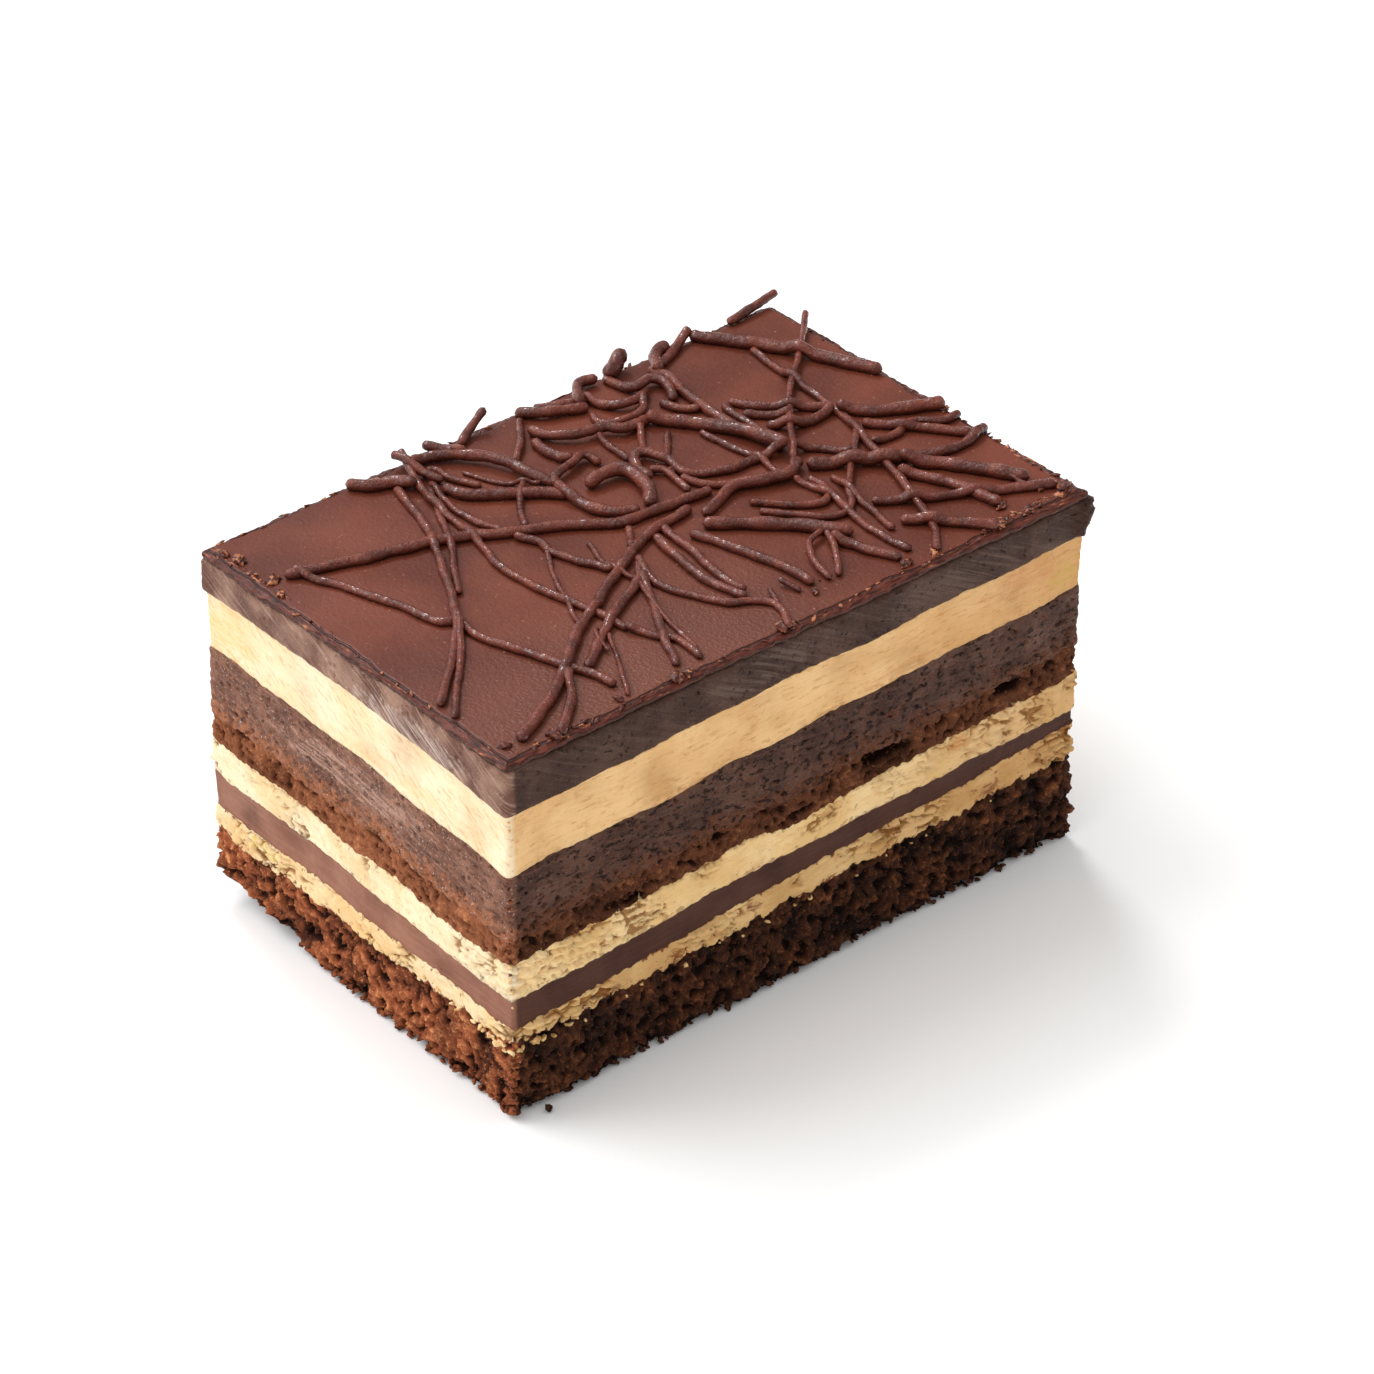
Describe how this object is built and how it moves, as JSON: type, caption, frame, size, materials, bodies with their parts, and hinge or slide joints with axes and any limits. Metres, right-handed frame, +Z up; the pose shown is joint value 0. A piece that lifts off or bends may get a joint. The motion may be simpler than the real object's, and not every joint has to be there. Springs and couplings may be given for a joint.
{
  "type": "opera cake slice",
  "caption": "Rectangular cut slice of layered opera cake: chocolate glaze with piped drizzle over ganache, coffee cream and soaked sponge.",
  "frame": {"origin": "middle of the slice's footprint, on the surface that it stands on", "axes": "+X along the long side from the left end to the right, +Y from the front cut face to the back, +Z up through the layers"},
  "size_m": [0.0819, 0.0542, 0.0482],
  "materials": {
    "chocolate_glaze": "set milk chocolate glaze, satin with a fine bloom, the drizzle a little glossier",
    "ganache": "smooth dark ganache, matte with faint knife streaks",
    "coffee_cream": "pale coffee butter cream, softly matte with a dragged grain",
    "sponge": "soaked almond sponge, open matte crumb"
  },
  "bodies": {
    "root": {"top_glaze": "chocolate_glaze", "ganache_top": "ganache", "cream_top": "coffee_cream", "ganache_middle": "ganache", "sponge_middle": "sponge", "cream_middle": "coffee_cream", "ganache_thin": "ganache", "cream_low": "coffee_cream", "sponge_base": "sponge"}
  },
  "joints": []
}
